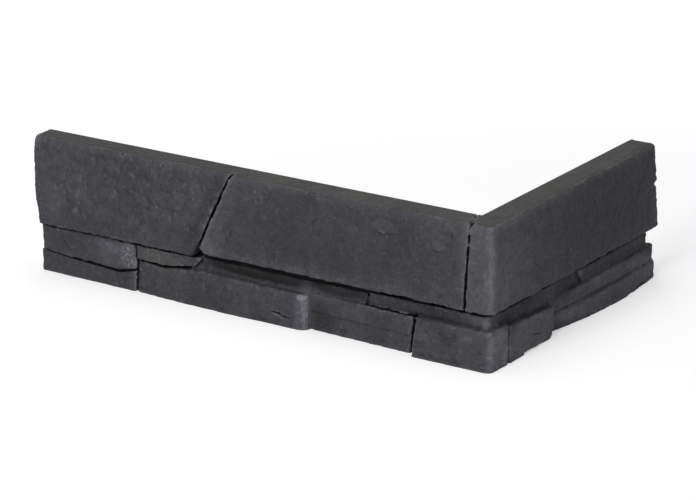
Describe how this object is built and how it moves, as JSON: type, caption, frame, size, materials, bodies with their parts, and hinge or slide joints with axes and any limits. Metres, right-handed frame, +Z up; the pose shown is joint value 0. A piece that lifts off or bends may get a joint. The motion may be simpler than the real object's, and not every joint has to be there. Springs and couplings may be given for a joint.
{
  "type": "concrete cladding corner",
  "caption": "Cast concrete cladding corner: two thin legs of unequal length at a right angle, stacked-stone relief outside and flat backs that bed on a wall's outside corner.",
  "frame": {"origin": "on the wall's arris, where the two flat backs meet, at the lower bed", "axes": "long leg along -X with its face to -Y, short leg along +Y with its face to +X, +Z up"},
  "size_m": [0.372, 0.2308, 0.1],
  "materials": {
    "concrete": "cast concrete coloured through in anthracite, matt, with a riven stone face"
  },
  "bodies": {
    "root": {"cladding_corner": "concrete"}
  },
  "joints": []
}
